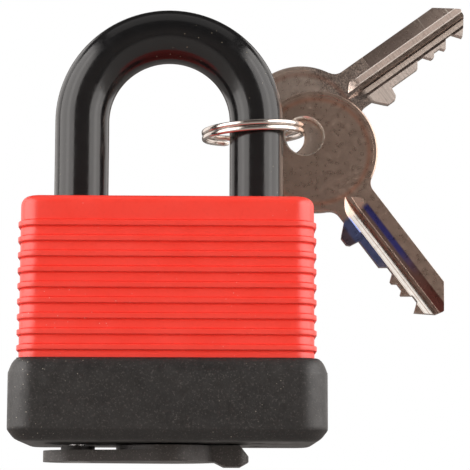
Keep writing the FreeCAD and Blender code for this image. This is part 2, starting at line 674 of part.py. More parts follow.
def key_outline():
    """Blade and neck seen from the side: x along the blade, z towards the spine."""
    nose_x, nose_z = TIP_NOSE
    ramp_x, ramp_z = TIP_RAMP
    points = [(0.0, BLADE_TOP), (BLADE_L - TIP_SLOPE, BLADE_TOP), (BLADE_L, TIP_Z),
              (BLADE_L - nose_x, TIP_Z - nose_z), (BLADE_L - ramp_x, BLADE_LOW + ramp_z)]
    points += reversed([p for p in cut_edge() if p[0] < BLADE_L - ramp_x])
    lug_low = BLADE_LOW - LUG_DEPTH
    lug_end = LUG_X - LUG_CORNER - LUG_LEAN
    points += [(LUG_X, BLADE_LOW), (LUG_X - LUG_LEAN, lug_low + LUG_CORNER), (lug_end, lug_low),
               (lug_end - LUG_W, lug_low), (lug_end - LUG_W - LUG_CORNER, lug_low + LUG_CORNER),
               (lug_end - LUG_W - LUG_CORNER - LUG_RAMP, BLADE_LOW), (0.0, BLADE_LOW)]
    return points


def neck_fillers():
    """Small webs that round the corners between the bow and the blade."""
    webs = []
    reach = BOW_D / 2 + NECK_ROUND
    touch = BOW_D / 2 / reach
    for edge, sign in ((BLADE_TOP, 1), (BLADE_LOW, -1)):
        centre_z = edge + sign * NECK_ROUND
        centre_x = math.sqrt(reach ** 2 - centre_z ** 2)
        corner = [V(0, 0, 0), V(centre_x, 0, edge), V(centre_x, 0, centre_z),
                  V(centre_x * touch, 0, centre_z * touch)]
        web = prism(corner, V(0, BOW_T, 0))
        webs.append(web.cut(cross_rod(NECK_ROUND, -OVER, BOW_T + OVER, centre_x, centre_z)))
    return webs


def milled_groove(upper, bottom, lower, depth, face_y, inward):
    """V groove along the blade that runs out where the round cutter lifted off."""
    root_y = face_y + inward * depth
    # the two flanks are carried on past the face, at the same slope
    outside = face_y - inward * depth * GROOVE_FLARE
    high = upper + (upper - bottom) * GROOVE_FLARE
    low = lower - (bottom - lower) * GROOVE_FLARE
    shape = [V(GROOVE_START_X, outside, high), V(GROOVE_START_X, root_y, bottom),
             V(GROOVE_START_X, outside, low)]
    track = prism(shape, V(BLADE_L, 0, 0))
    axis_y = root_y - inward * CUTTER_R
    loop = Part.makePolygon(shape + [shape[0]])
    end = Part.Face(loop).revolve(V(GROOVE_START_X, axis_y, 0), V(0, 0, 1), 90)
    back = Part.Face(loop).revolve(V(GROOVE_START_X, axis_y, 0), V(0, 0, 1), -90)
    return track.fuse([end, back])


def make_key_blank():
    """A whole key, bow centre on the origin, thickness from y = 0 to BOW_T."""
    bow_r = BOW_D / 2
    bow = cross_rod(bow_r, 0, BOW_T, 0, 0)
    rims = [e for e in bow.Edges if e.BoundBox.YLength < NEAR and e.BoundBox.XLength > bow_r]
    bow = bow.makeChamfer(BOW_EDGE, rims)
    shank = prism([V(x, 0, z) for x, z in key_outline()], V(0, BOW_T, 0))
    key = bow.fuse([shank] + neck_fillers()).removeSplitter()
    # both faces: a shallow recess in the bow, and a thinner milled blade
    thin = (BOW_T - BLADE_T) / 2
    low = BLADE_LOW - LUG_DEPTH - OVER
    recess = cross_rod(bow_r - BOW_RIM, 0, BOW_RECESS, 0, 0)
    recess = recess.cut(box(NECK_X, bow_r, -OVER, BOW_T, -bow_r, bow_r))
    far_recess = recess.copy()
    far_recess.translate(V(0, BOW_T - BOW_RECESS, 0))
    skim = box(BLADE_START_X, BLADE_L + OVER, -OVER, thin, low, BLADE_TOP + OVER)
    far_skim = box(BLADE_START_X, BLADE_L + OVER, BOW_T - thin, BOW_T + OVER, low, BLADE_TOP + OVER)
    key = key.cut([recess, far_recess, skim, far_skim])
    key = key.cut(cross_rod(KEY_HOLE_D / 2, -OVER, BOW_T + OVER, KEY_HOLE_X, 0))
    outer = KEY_HOLE_D / 2 + KEY_HOLE_CHAMFER
    for y, way in ((BOW_RECESS, 1), (BOW_T - BOW_RECESS, -1)):
        bevel = Part.makeCone(outer, KEY_HOLE_D / 2, KEY_HOLE_CHAMFER, V(KEY_HOLE_X, y, 0), V(0, way, 0))
        key = key.cut(bevel)
    for groove in NEAR_GROOVES:
        key = key.cut(milled_groove(*groove, thin, 1))
    return key.cut(milled_groove(*FAR_GROOVE, BOW_T - thin, -1))


def ring_point(y):
    """Middle of the ring's wire on its right-hand side, at a given depth."""
    sine = (y - RING_Y) / RING_MEAN_R
    return ring_place().multVec(V(RING_MEAN_R * math.sqrt(1.0 - sine ** 2), RING_MEAN_R * sine, 0))


def wire_edge(y, side):
    """Where the ring's wire ends to one side, at a given depth."""
    radius = RING_MEAN_R + side * RING_WIRE_W / 2
    along = y - RING_Y
    return ring_place().multVec(V(math.sqrt(radius ** 2 - along ** 2), along, 0)).x


def place_key(key, face_y, share, drop, angle):
    """Hang a key on the ring, its near face at a given depth and its hole a drop below the wire.

    share tells where the hole stands between its leftmost place (-1) and its rightmost (1)."""
    wire = ring_point(face_y + BOW_T / 2)
    chord = math.sqrt((KEY_HOLE_D / 2) ** 2 - (drop + RING_WIRE_H + RING_TURN_GAP / 2) ** 2)
    leftmost = wire_edge(face_y, 1) - chord
    rightmost = wire_edge(face_y + BOW_T, -1) + chord
    hole_x = (leftmost + rightmost) / 2 + share * (rightmost - leftmost) / 2
    placed = key.copy()
    placed.translate(V(-KEY_HOLE_X, 0, 0))
    placed.rotate(V(0, 0, 0), V(0, -1, 0), angle)
    placed.translate(V(hole_x, face_y, wire.z - drop))
    return placed


# ---- write the parts ---------------------------------------------------------------
def main():
    os.makedirs("parts", exist_ok=True)
    save(make_jacket(), "jacket")
    save(make_base(), "base_bumper")
    save(make_seals(), "leg_seals")
    for number in range(1, PLATE_COUNT + 1):
        save(make_plate(number), "plate_%02d" % number)
    save(make_rivets(), "body_rivets")
    save(make_heel_pin(), "heel_pin")
    save(make_shackle_core(), "shackle_core")
    save(make_shackle_coating(), "shackle_coating")
    save(make_shackle_spring(), "shackle_spring")
    save(make_cylinder_shell(), "cylinder_shell")
    save(make_plug(), "plug")
    save(make_key_pins(), "key_pins")
    save(make_driver_pins(), "driver_pins")
    save(make_pin_springs(), "pin_springs")
    save(make_plug_clip(), "plug_clip")
    save(make_spindle(), "spindle")
    save(make_cam(), "locking_cam")
    save(make_cover(), "keyhole_cover")
    save(make_cover_pivot(), "cover_pivot")
    save(make_split_ring(), "split_ring")
    key = make_key_blank().removeSplitter()
    save(place_key(key, KEY_FRONT_Y, FRONT_KEY_SHARE, FRONT_KEY_DROP, FRONT_KEY_ANGLE), "key_front")
    save(place_key(key, KEY_REAR_Y, REAR_KEY_SHARE, REAR_KEY_DROP, REAR_KEY_ANGLE), "key_rear")
    print("lift", round(LIFT, 3), "cam turn", CAM_TURN, "clear angle", round(CLEAR_ANGLE, 2))
    print("body top", round(BODY_TOP, 3), "base bottom", round(BASE_BOTTOM, 3),
          "jacket", round(JACKET_W, 2), round(JACKET_D, 2), "base", round(BASE_W, 2), round(BASE_D, 2))
    print("arch z", round(ARCH_Z, 3), "toe tip", round(TOE_TIP, 3), "heel tip", round(HEEL_TIP, 3),
          "heel floor", round(HEEL_FLOOR, 3))


main()
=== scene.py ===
import math

import bmesh
import bpy
from mathutils import Matrix, Vector


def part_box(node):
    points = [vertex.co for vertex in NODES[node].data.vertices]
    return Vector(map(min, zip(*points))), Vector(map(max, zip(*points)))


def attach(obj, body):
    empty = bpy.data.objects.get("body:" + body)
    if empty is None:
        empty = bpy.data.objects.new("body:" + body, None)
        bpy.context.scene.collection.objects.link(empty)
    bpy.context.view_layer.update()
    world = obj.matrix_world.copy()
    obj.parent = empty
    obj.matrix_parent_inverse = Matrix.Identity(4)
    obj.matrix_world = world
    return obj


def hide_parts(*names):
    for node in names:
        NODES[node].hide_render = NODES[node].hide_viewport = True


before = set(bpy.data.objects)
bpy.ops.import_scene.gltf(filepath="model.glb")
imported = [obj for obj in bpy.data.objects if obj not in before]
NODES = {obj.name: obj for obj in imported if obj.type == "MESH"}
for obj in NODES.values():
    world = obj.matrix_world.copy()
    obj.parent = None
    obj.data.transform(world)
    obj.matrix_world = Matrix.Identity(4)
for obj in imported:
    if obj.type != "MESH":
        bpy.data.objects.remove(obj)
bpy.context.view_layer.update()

# The visual model of a jacketed laminated padlock with two keys on a split ring.
# Metres, in the frame of the CAD model: +Z up the shackle's legs, -Y the front face.

MM = 0.001

# ---- sizes read from the frame -------------------------------------------------------
JACKET_LO, JACKET_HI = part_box("jacket")
BASE_LO, BASE_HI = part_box("base_bumper")
SLEEVE_LO, SLEEVE_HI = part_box("shackle_coating")
CORE_LO, CORE_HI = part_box("shackle_core")
SEAL_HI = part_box("leg_seals")[1]
STACK_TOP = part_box("plate_01")[1].z
STACK_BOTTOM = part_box("plate_13")[0].z

LEG_X = (SLEEVE_HI.x - SLEEVE_LO.x - (SLEEVE_HI.y - SLEEVE_LO.y)) / 2
SLEEVE_R = (SLEEVE_HI.y - SLEEVE_LO.y) / 2
CORE_R = (CORE_HI.y - CORE_LO.y) / 2
ARCH_Z = SLEEVE_HI.z - SLEEVE_R - LEG_X

# ---- sizes of the mouldings ----------------------------------------------------------
RIB_OUT = 0.42 * MM
RIB_HALF = 0.475 * MM
RIB_ROUND = 0.15 * MM
RIB_COUNT = 9
RIB_PITCH = 2.715 * MM
RIB_FIRST = 5.05 * MM
JACKET_WALL = 1.6 * MM
JACKET_CORNER = 3.6 * MM
JACKET_EDGE = 1.7 * MM
BASE_WALL = 3.6 * MM
BASE_CORNER = 5.0 * MM
HOLE_LIP = 0.3 * MM         # rounding of the base's holes
SEAL_HOLE_LIP = 0.25 * MM   # rounding of the jacket's leg holes
# fine groove beside each rib, in mm: inset and height from the rib's lower or upper edge
RIB_FOOT_LEVELS = ((0.0, -0.34), (0.07, -0.24), (0.13, -0.06), (0.13, 0.10))
RIB_HEAD_LEVELS = ((0.08, -0.10), (0.08, 0.04), (0.0, 0.15))
# the base's skin, in mm: step inwards and drop below the rim, under the jacket
RIM_LEVELS = ((0.05, 0.5), (0.15, 0.12), (0.35, 0.0))
# inset and drop below the rim, then inset and rise above the foot
SHOULDER_LEVELS = ((1.62, 0.0), (1.42, 0.10), (1.02, 0.45), (0.66, 0.95), (0.40, 1.5), (0.20, 2.05),
                   (0.14, 2.25), (0.03, 2.45), (0.0, 2.9))
FOOT_LEVELS = ((0.0, 2.6), (0.02, 2.1), (0.10, 1.9), (0.24, 1.7), (0.90, 0.85), (1.30, 0.47),
               (1.8, 0.19), (2.25, 0.05), (2.7, 0.0))
KEYHOLE_R = 7.3 * MM
DRAIN_R = 1.2 * MM
DRAIN_Y = 7.0 * MM
PIVOT_R = 1.5 * MM

# ---- ring and keys -------------------------------------------------------------------
RING_WIRE_W = 0.85 * MM
RING_WIRE_H = 1.0 * MM
RING_GAP = 0.05 * MM
RING_TILT_SIDE = math.radians(3.8)
RING_TILT_BACK = math.radians(2.2)
RING_START = math.radians(120.0)       # where the wire begins, seen from above
RING_SWEEP = math.radians(660.0)       # how far the wire runs round
RING_LOWER_END = math.radians(300.0)   # where it leaves the lower turn
RING_CLIMB = math.radians(60.0)        # how far it climbs round to the upper turn
RING_STATIONS = 240
RING_SIDES = 16
RING_ROUNDNESS = 0.8                   # 1 is an oval section, less is squarer
RING_END_SCALE = 0.6                   # the cut ends, ground to a short taper
RING_END_GAIN = 0.2                    # growth from one station to the next
PIN_SPRINGS = 4
PIN_SPRING_TURNS = 4
PIN_SPRING_WIRE_R = 0.22 * MM
BOW_R = 11.5 * MM
HOLE_X = -3.65 * MM
MILLED_FROM = 13.6          # start of the milled part along a key, in mm
KEY_END = 60.0              # beyond the tip of either key, in mm
FAR_ACROSS = 9.0            # beyond either edge of a blade, in mm
# radii from a bow's centre and from its hole's centre, in mm: a painted reddish shade just inside the
# bow's rim, and a painted highlight, a near-white ring, on the hole's chamfer
BOW_RIM_SHADE = (9.5, 10.3)
HOLE_HIGHLIGHT = (3.42, 3.80)
# heights across a blade, in mm: the deep groove and the shallow one above it
DEEP_GROOVE = (-2.6, -0.95)
UPPER_GROOVE = (-0.1, 1.6)
FRONT_ANGLE = math.radians(-52.8)
REAR_ANGLE = math.radians(36.0)

BODY_W = JACKET_HI.x - JACKET_LO.x - 2 * RIB_OUT
BODY_D = JACKET_HI.y - JACKET_LO.y - 2 * RIB_OUT
BODY_TOP = JACKET_HI.z
BASE_TOP = BASE_HI.z
BASE_W = BASE_HI.x - BASE_LO.x
BASE_SHIFT = (BASE_HI.x + BASE_LO.x) / 2
BASE_D = BASE_HI.y - BASE_LO.y


# ---- mesh helpers --------------------------------------------------------------------
def finish_mesh(bm, name, sharp_angle=35):
    """Close up, face outwards, mark creases and hand the mesh over as an object."""
    bmesh.ops.remove_doubles(bm, verts=bm.verts, dist=1e-7)
    bmesh.ops.recalc_face_normals(bm, faces=bm.faces)
    limit = math.radians(sharp_angle)
    for edge in bm.edges:
        edge.smooth = not (edge.is_manifold and edge.calc_face_angle(0) > limit)
    for face in bm.faces:
        face.smooth = True
    mesh = bpy.data.meshes.new(name)
    bm.to_mesh(mesh)
    bm.free()
    piece = bpy.data.objects.new(name, mesh)
    bpy.context.scene.collection.objects.link(piece)
    return piece


def baked(piece):
    """Apply a piece's modifiers, leaving a plain mesh."""
    evaluated = piece.evaluated_get(bpy.context.evaluated_depsgraph_get())
    mesh = bpy.data.meshes.new_from_object(evaluated)
    old = piece.data
    piece.modifiers.clear()
    if piece.type == "MESH":
        piece.data = mesh
        mesh.name = piece.name
        return piece
    name = piece.name
    bpy.data.objects.remove(piece)
    bpy.data.curves.remove(old)
    plain = bpy.data.objects.new(name, mesh)
    bpy.context.scene.collection.objects.link(plain)
    return plain


def dress(piece, material, body, slot, *nodes):
    """Give a finished piece its material, its body and the CAD nodes it stands for."""
    piece.data.materials.clear()
    piece.data.materials.append(material)
    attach(piece, body)
    if nodes:
        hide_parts(*nodes)
    return piece


def rounded_rectangle(width, depth, corner, arc_steps=14, side_steps=6):
    """Plan outline, anticlockwise, always with the same number of points."""
    points = []
    half_w = width / 2
    half_d = depth / 2
    centres = ((half_w - corner, half_d - corner), (corner - half_w, half_d - corner),
               (corner - half_w, corner - half_d), (half_w - corner, corner - half_d))
    for quarter, (x, y) in enumerate(centres):
        for i in range(arc_steps + 1):
            angle = math.pi / 2 * (quarter + i / arc_steps)
            points.append(Vector((x + corner * math.cos(angle), y + corner * math.sin(angle))))
        after = centres[(quarter + 1) % 4]
        turn = math.pi / 2 * (quarter + 1)
        start = points[-1]
        end = Vector((after[0] + corner * math.cos(turn), after[1] + corner * math.sin(turn)))
        for i in range(1, side_steps):
            points.append(start.lerp(end, i / side_steps))
    return points


def ring_of(bm, points, z):
    return [bm.verts.new((p.x, p.y, z)) for p in points]


def bridge(bm, first, second):
    """Join two rings of equal length with quads."""
    count = len(first)
    for i in range(count):
        j = (i + 1) % count
        bm.faces.new((first[i], first[j], second[j], second[i]))


def level_face(bm, rings):
    """A flat face bounded by several rings, the first one outermost."""
    edges = []
    for ring in rings:
        for i, vert in enumerate(ring):
            other = ring[(i + 1) % len(ring)]
            edges.append(bm.edges.get((vert, other)) or bm.edges.new((vert, other)))
    bmesh.ops.triangle_fill(bm, use_beauty=True, use_dissolve=False, edges=edges)


def circle_points(x, y, radius, steps=64):
    return [Vector((x + radius * math.cos(2 * math.pi * i / steps),
                    y + radius * math.sin(2 * math.pi * i / steps))) for i in range(steps)]


def moulded_shell(name, plan, outside, inside, holes, lip):
    """A one-walled moulding: an outer skin, a floor with holes, and an inner skin.

    plan is (width, depth, corner); each skin is a list of (inset, z) or (inset, z, shift in x);
    a hole is (x, y, radius)."""
    width, depth, corner = plan
    bm = bmesh.new()
    skins = []
    for levels in (outside, inside):
        rings = []
        for inset, z, *shift in levels:
            outline = rounded_rectangle(width - 2 * inset, depth - 2 * inset,
                                        max(corner - inset, 0.4 * MM))
            for point in outline:
                point.x += sum(shift)
            rings.append(ring_of(bm, outline, z))
        for first, second in zip(rings, rings[1:]):
            bridge(bm, first, second)
        skins.append(rings)
    outer, inner = skins
    bridge(bm, outer[0], inner[0])
    z_out = outside[-1][1]
    z_in = inside[-1][1]
    way = math.copysign(1.0, z_in - z_out)
    outer_holes = []
    inner_holes = []
    for x, y, radius in holes:
        steps = [(radius + lip, z_out), (radius + lip * 0.3, z_out + way * lip * 0.3),
                 (radius, z_out + way * lip), (radius, z_in)]
        rings = [ring_of(bm, circle_points(x, y, r), z) for r, z in steps]
        for first, second in zip(rings, rings[1:]):
            bridge(bm, first, second)
        outer_holes.append(rings[0])
        inner_holes.append(rings[-1])
    level_face(bm, [outer[-1]] + outer_holes)
    level_face(bm, [inner[-1]] + inner_holes)
    return finish_mesh(bm, name)


def quarter_round(inset, z, radius, way, steps=8):
    """Levels of a rounded edge that starts on the wall and ends on the flat."""
    levels = []
    for i in range(steps + 1):
        angle = math.pi / 2 * i / steps
        levels.append((inset + radius * (1 - math.cos(angle)), z + way * radius * math.sin(angle)))
    return levels


def softened_copy(node, name, width, segments=2, angle=28):
    """A clean copy of a CAD node's mesh with its hard edges very slightly rounded."""
    bm = bmesh.new()
    bm.from_mesh(NODES[node].data)
    bmesh.ops.remove_doubles(bm, verts=bm.verts, dist=2e-6)
    bmesh.ops.dissolve_limit(bm, angle_limit=math.radians(0.6), verts=bm.verts, edges=bm.edges)
    piece = finish_mesh(bm, name, sharp_angle=angle)
    edge = piece.modifiers.new("edge", "BEVEL")
    edge.width = width
    edge.segments = segments
    edge.limit_method = "ANGLE"
    edge.angle_limit = math.radians(angle)
    edge.use_clamp_overlap = True
    edge.harden_normals = True
    edge.miter_outer = "MITER_ARC"
    flat = piece.modifiers.new("flat", "WEIGHTED_NORMAL")
    flat.keep_sharp = True
    flat.weight = 100
    return baked(piece)


# ---- Geometry Nodes helpers ----------------------------------------------------------
def new_tree(name, inputs):
    """A geometry tree with one geometry in and out and the named sizes given."""
    tree = bpy.data.node_groups.new(name, "GeometryNodeTree")
    tree.interface.new_socket("Geometry", in_out="INPUT", socket_type="NodeSocketGeometry")
    tree.interface.new_socket("Geometry", in_out="OUTPUT", socket_type="NodeSocketGeometry")
    for label, kind in inputs:
        tree.interface.new_socket(label, in_out="INPUT", socket_type="NodeSocket" + kind)
    entry = tree.nodes.new("NodeGroupInput")
    leave = tree.nodes.new("NodeGroupOutput")
    return tree, entry, leave


def add(tree, kind, **settings):
    made = tree.nodes.new(kind)
    for key, value in settings.items():
        if hasattr(made, key):
            setattr(made, key, value)
        else:
            made.inputs[key.replace("_", " ")].default_value = value
    return made


def run_tree(piece, tree, values):
    """Run a geometry tree on a piece with its inputs set by identifier, and keep the result."""
    modifier = piece.modifiers.new(tree.name, "NODES")
    modifier.node_group = tree
    for item in tree.interface.items_tree:
        if item.item_type == "SOCKET" and item.in_out == "INPUT" and item.name in values:
            modifier[item.identifier] = values[item.name]
    return baked(piece)


def path_curve(name, points, closed=False):
    curve = bpy.data.curves.new(name, "CURVE")
    curve.dimensions = "3D"
    spline = curve.splines.new("POLY")
    spline.points.add(len(points) - 1)
    for point, place in zip(spline.points, points):
        point.co = (place[0], place[1], place[2], 1)
    spline.use_cyclic_u = closed
    piece = bpy.data.objects.new(name, curve)
    bpy.context.scene.collection.objects.link(piece)
    return piece


def sweep_tree():
    """Sweeps a round section along the incoming curve."""
    tree, entry, leave = new_tree("round_sweep", (("Radius", "Float"), ("Sides", "Int"),
                                                  ("Caps", "Bool"), ("Finish", "Material")))
    section = add(tree, "GeometryNodeCurvePrimitiveCircle", mode="RADIUS")
    tube = add(tree, "GeometryNodeCurveToMesh")
    smooth = add(tree, "GeometryNodeSetShadeSmooth")
    whole = add(tree, "GeometryNodeRealizeInstances")
    paint = add(tree, "GeometryNodeSetMaterial")
    link = tree.links.new
    link(entry.outputs["Radius"], section.inputs["Radius"])
    link(entry.outputs["Sides"], section.inputs["Resolution"])
    link(entry.outputs["Geometry"], tube.inputs["Curve"])
    link(section.outputs["Curve"], tube.inputs["Profile Curve"])
    link(entry.outputs["Caps"], tube.inputs["Fill Caps"])
    link(tube.outputs["Mesh"], smooth.inputs["Geometry"])
    link(smooth.outputs["Geometry"], whole.inputs["Geometry"])
    link(whole.outputs["Geometry"], paint.inputs["Geometry"])
    link(entry.outputs["Finish"], paint.inputs["Material"])
    link(paint.outputs["Geometry"], leave.inputs["Geometry"])
    return tree


def band_tree():
    """Sweeps a squarish bead round a closed plan outline and repeats it down the body."""
    tree, entry, leave = new_tree("rib_bands", (("Half height", "Float"), ("Stand out", "Float"),
                                                ("Count", "Int"), ("Pitch", "Float"),
                                                ("Top", "Float"), ("Finish", "Material")))
    section = add(tree, "GeometryNodeCurvePrimitiveQuadrilateral", mode="RECTANGLE", Width=2.0,
                  Height=2.0)
    oval = add(tree, "GeometryNodeTransform")
    eased = add(tree, "GeometryNodeFilletCurve", mode="POLY", Count=4, Radius=RIB_ROUND)
    size = add(tree, "ShaderNodeCombineXYZ", Z=1.0)
    bead = add(tree, "GeometryNodeCurveToMesh")
    smooth = add(tree, "GeometryNodeSetShadeSmooth")
    levels = add(tree, "GeometryNodeMeshLine", mode="OFFSET")
    start = add(tree, "ShaderNodeCombineXYZ")
    down = add(tree, "ShaderNodeCombineXYZ")
    flip = add(tree, "ShaderNodeMath", operation="MULTIPLY")
    flip.inputs[1].default_value = -1.0
    copies = add(tree, "GeometryNodeInstanceOnPoints")
    whole = add(tree, "GeometryNodeRealizeInstances")
    paint = add(tree, "GeometryNodeSetMaterial")
    link = tree.links.new
    link(entry.outputs["Stand out"], size.inputs["X"])
    link(entry.outputs["Half height"], size.inputs["Y"])
    link(section.outputs["Curve"], oval.inputs["Geometry"])
    link(size.outputs["Vector"], oval.inputs["Scale"])
    link(entry.outputs["Geometry"], bead.inputs["Curve"])
    link(oval.outputs["Geometry"], eased.inputs["Curve"])
    link(eased.outputs["Curve"], bead.inputs["Profile Curve"])
    link(bead.outputs["Mesh"], smooth.inputs["Geometry"])
    link(entry.outputs["Count"], levels.inputs["Count"])
    link(entry.outputs["Top"], start.inputs["Z"])
    link(start.outputs["Vector"], levels.inputs["Start Location"])
    link(entry.outputs["Pitch"], flip.inputs[0])
    link(flip.outputs[0], down.inputs["Z"])
    link(down.outputs["Vector"], levels.inputs["Offset"])
    link(levels.outputs["Mesh"], copies.inputs["Points"])
    link(smooth.outputs["Geometry"], copies.inputs["Instance"])
    link(copies.outputs["Instances"], whole.inputs["Geometry"])
    link(whole.outputs["Geometry"], paint.inputs["Geometry"])
    link(entry.outputs["Finish"], paint.inputs["Material"])
    link(paint.outputs["Geometry"], leave.inputs["Geometry"])
    return tree


# ---- materials -----------------------------------------------------------------------
class Finish:
    """A node material in the making, on Object coordinates."""

    def __init__(self, name, colour, roughness, **sockets):
        self.material = bpy.data.materials.new(name)
        self.material.use_nodes = True
        self.tree = self.material.node_tree
        self.shader = self.tree.nodes["Principled BSDF"]
        self.shader.inputs["Base Color"].default_value = (*colour, 1)
        self.shader.inputs["Roughness"].default_value = roughness
        for key, value in sockets.items():
            self.shader.inputs[key.replace("_", " ")].default_value = value
        self.colour = colour
        self.roughness = roughness
        self.place = self.add("ShaderNodeTexCoord").outputs["Object"]
        self.last_colour = None
        self.last_bump = None

    def add(self, kind, **settings):
        return add(self.tree, kind, **settings)

    def link(self, start, end):
        self.tree.links.new(start, end)

    def stretched(self, scale, turn=(0, 0, 0)):
        """Object coordinates scaled along each axis, after a turn about the origin."""
        mapping = self.add("ShaderNodeMapping", vector_type="POINT")
        mapping.inputs["Scale"].default_value = scale
        mapping.inputs["Rotation"].default_value = turn
        self.link(self.place, mapping.inputs["Vector"])
        return mapping.outputs["Vector"]

    def noise(self, scale, detail=3.0, roughness=0.55, place=None):
        made = self.add("ShaderNodeTexNoise", Scale=scale, Detail=detail, Roughness=roughness)
        self.link(place or self.place, made.inputs["Vector"])
        return made.outputs["Fac"]

    def cells(self, scale, place=None):
        made = self.add("ShaderNodeTexVoronoi", feature="F1", Scale=scale)
        self.link(place or self.place, made.inputs["Vector"])
        return made.outputs["Distance"]

    def ramp(self, value, low, high, out_low=0.0, out_high=1.0):
        made = self.add("ShaderNodeMapRange")
        made.inputs["From Min"].default_value = low
        made.inputs["From Max"].default_value = high
        made.inputs["To Min"].default_value = out_low
        made.inputs["To Max"].default_value = out_high
        self.link(value, made.inputs["Value"])
        return made.outputs["Result"]

    def times(self, first, second):
        made = self.add("ShaderNodeMath", operation="MULTIPLY")
        for socket, value in zip(made.inputs, (first, second)):
            if isinstance(value, (int, float)):
                socket.default_value = value
            else:
                self.link(value, socket)
        return made.outputs[0]

    def sum(self, first, second):
        made = self.add("ShaderNodeMath", operation="ADD")
        self.link(first, made.inputs[0])
        self.link(second, made.inputs[1])
        return made.outputs[0]

    def tint(self, amount, colour):
        """Lay another colour over what is there, as strongly as amount says."""
        mix = self.add("ShaderNodeMix", data_type="RGBA", blend_type="MIX")
        if self.last_colour is None:
            mix.inputs[6].default_value = (*self.colour, 1)
        else:
            self.link(self.last_colour, mix.inputs[6])
        mix.inputs[7].default_value = (*colour, 1)
        self.link(amount, mix.inputs["Factor"])
        self.last_colour = mix.outputs[2]
        self.link(self.last_colour, self.shader.inputs["Base Color"])

    def wash(self, mask, strength, colour):
        self.tint(self.times(mask, strength), colour)

    def rough(self, value):
        self.link(value, self.shader.inputs["Roughness"])

    def bump(self, height, depth, strength=1.0):
        made = self.add("ShaderNodeBump")
        made.inputs["Strength"].default_value = strength
        made.inputs["Distance"].default_value = depth
        self.link(height, made.inputs["Height"])
        if self.last_bump is not None:
            self.link(self.last_bump, made.inputs["Normal"])
        self.last_bump = made.outputs["Normal"]
        self.link(self.last_bump, self.shader.inputs["Normal"])


def dust(finish, colour, scale, patch_scale, amount):
    """Tiny pale specks, thicker in some patches than in others."""
    specks = finish.ramp(finish.cells(scale), 0.10, 0.06)
    patch = finish.ramp(finish.noise(patch_scale, detail=1.0), 0.50, 0.64, 0.0, amount)
    finish.tint(finish.times(specks, patch), colour)


def red_plastic():
    made = Finish("jacket_red_plastic", (0.93, 0.045, 0.026), 0.36, IOR=1.49,
                  Specular_IOR_Level=0.8)
    made.tint(made.ramp(made.noise(90.0), 0.35, 0.7, 0.0, 0.5), (0.97, 0.066, 0.042))
    made.tint(made.ramp(made.noise(1500.0, detail=2.0), 0.5, 0.8, 0.0, 0.35), (0.84, 0.034, 0.020))
    dust(made, (0.95, 0.72, 0.66), 900.0, 70.0, 0.5)
    made.rough(made.ramp(made.noise(240.0), 0.3, 0.7, 0.32, 0.42))
    made.bump(made.noise(2600.0, detail=2.0), 0.03 * MM, 0.35)
    made.bump(made.noise(420.0, detail=1.0), 0.05 * MM, 0.25)
    return made.material


def dark_plastic(name, colour, pale):
    made = Finish(name, colour, 0.44, IOR=1.48, Specular_IOR_Level=0.7)
    made.tint(made.ramp(made.noise(1900.0, detail=3.0, roughness=0.7), 0.46, 0.72, 0.0, 0.75), pale)
    made.tint(made.ramp(made.noise(160.0, detail=3.0), 0.4, 0.75, 0.0, 0.4), pale)
    made.tint(made.ramp(made.noise(3400.0, detail=1.0), 0.60, 0.72, 0.0, 0.6), [c * 3.0 for c in pale])
    dust(made, (0.55, 0.50, 0.42), 1000.0, 60.0, 0.8)
    made.rough(made.ramp(made.noise(500.0), 0.3, 0.7, 0.38, 0.52))
    made.bump(made.noise(2400.0, detail=3.0, roughness=0.7), 0.06 * MM, 0.45)
    return made.material


def gloss_vinyl():
    made = Finish("shackle_black_vinyl", (0.0075, 0.0075, 0.008), 0.16, IOR=1.52)
    made.tint(made.ramp(made.noise(220.0), 0.4, 0.8, 0.0, 0.5), (0.012, 0.011, 0.011))
    dust(made, (0.35, 0.30, 0.22), 850.0, 80.0, 0.7)
    made.rough(made.ramp(made.noise(700.0), 0.3, 0.75, 0.12, 0.24))
    made.bump(made.noise(330.0, detail=1.0), 0.04 * MM, 0.18)
    return made.material


def seal_rubber():
    made = Finish("seal_soft_rubber", (0.018, 0.018, 0.019), 0.7, IOR=1.45)
    made.tint(made.ramp(made.noise(1200.0), 0.4, 0.8, 0.0, 0.6), (0.035, 0.034, 0.033))
    made.bump(made.noise(1800.0), 0.04 * MM, 0.4)
    return made.material


